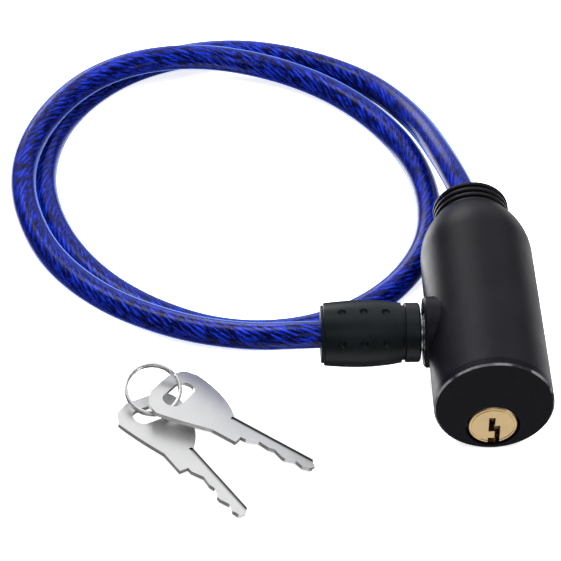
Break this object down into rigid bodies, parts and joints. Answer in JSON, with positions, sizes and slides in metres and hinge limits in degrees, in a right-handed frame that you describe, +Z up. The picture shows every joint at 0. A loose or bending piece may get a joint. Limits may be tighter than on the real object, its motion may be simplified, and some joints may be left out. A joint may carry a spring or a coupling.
{
  "type": "cable lock",
  "caption": "Key-operated cable lock: a round lock body whose looped steel cable ends in a plug that latches into its side, with keys on a split ring.",
  "frame": {"origin": "on the table, under the middle of the box round the lock body and the keys (the cable and its plug are left out of that box)", "axes": "+Z up; +Y along the lock body from its key face to the cable's exit; +X to the right when facing the key face"},
  "size_m": [0.1578, 0.2066, 0.034],
  "materials": {
    "black_shell": "matte",
    "black_plastic": "satin",
    "black_rubber": "matte",
    "blue_vinyl": "gloss",
    "core_brass": "satin",
    "bright_steel": "satin",
    "wire_steel": "satin",
    "zinc_casting": "matte",
    "nickel": "satin"
  },
  "bodies": {
    "lock_body": {"cover_shell": "black_shell", "front_cap": "black_shell", "lock_housing": "zinc_casting", "socket_flange": "black_shell", "socket_bush": "bright_steel", "core_pin": "bright_steel", "body_ferrule": "bright_steel", "ferrule_pin": "bright_steel", "grommet": "black_rubber", "cable_jacket": "blue_vinyl", "wire_rope": "wire_steel"},
    "core": {"lock_core": "core_brass", "lock_cam": "bright_steel", "cam_clip": "bright_steel"},
    "wafer_set": {"wafers": "core_brass", "wafer_springs": "bright_steel"},
    "latch": {"latch_plate": "bright_steel", "latch_spring": "bright_steel"},
    "plug": {"locking_pin": "bright_steel", "pin_collar": "bright_steel", "plug_end_ring": "black_plastic", "plug_seal": "black_rubber", "plug_sleeve": "black_plastic", "plug_lip": "black_plastic", "plug_ferrule": "bright_steel"},
    "ring": {"key_ring": "nickel"},
    "key_a": {"key_1": "nickel"},
    "key_b": {"key_2": "nickel"}
  },
  "joints": [
    {"name": "core_turn", "type": "hinge", "parent": "lock_body", "child": "core", "pos_m": [0.0448, -0.01945, 0.0091], "axis": [0, 1, 0], "range_deg": [0, 90]},
    {"name": "wafer_slide", "type": "slide", "parent": "core", "child": "wafer_set", "axis": [0, 0, 1], "range_m": [0, 0.0008], "stiffness_N_per_m": 20, "deforming": ["wafer_springs"]},
    {"name": "latch_slide", "type": "slide", "parent": "lock_body", "child": "latch", "axis": [0, 0, 1], "range_m": [0, 0.0016], "deforming": ["latch_spring"]},
    {"name": "plug_slide", "type": "slide", "parent": "lock_body", "child": "plug", "axis": [-1, 0, 0], "range_m": [0, 0.03], "deforming": ["cable_jacket", "wire_rope"]},
    {"name": "ring_lift", "type": "slide", "parent": "lock_body", "child": "ring", "axis": [0, 0, 1], "range_m": [0, 0.1]},
    {"name": "key_1_turn", "type": "hinge", "parent": "ring", "child": "key_a", "pos_m": [-0.05126, -0.00989, 0.007], "axis": [0.117, -0.318, 0.9409], "range_deg": [0, 25]},
    {"name": "key_2_turn", "type": "hinge", "parent": "ring", "child": "key_b", "pos_m": [-0.05126, -0.00989, 0.007], "axis": [0.117, -0.318, 0.9409], "range_deg": [-25, 0]}
  ],
  "couplings": [
    {"joint": "latch_slide", "follows": "core_turn", "m_per_rad": 0.0010186}
  ]
}
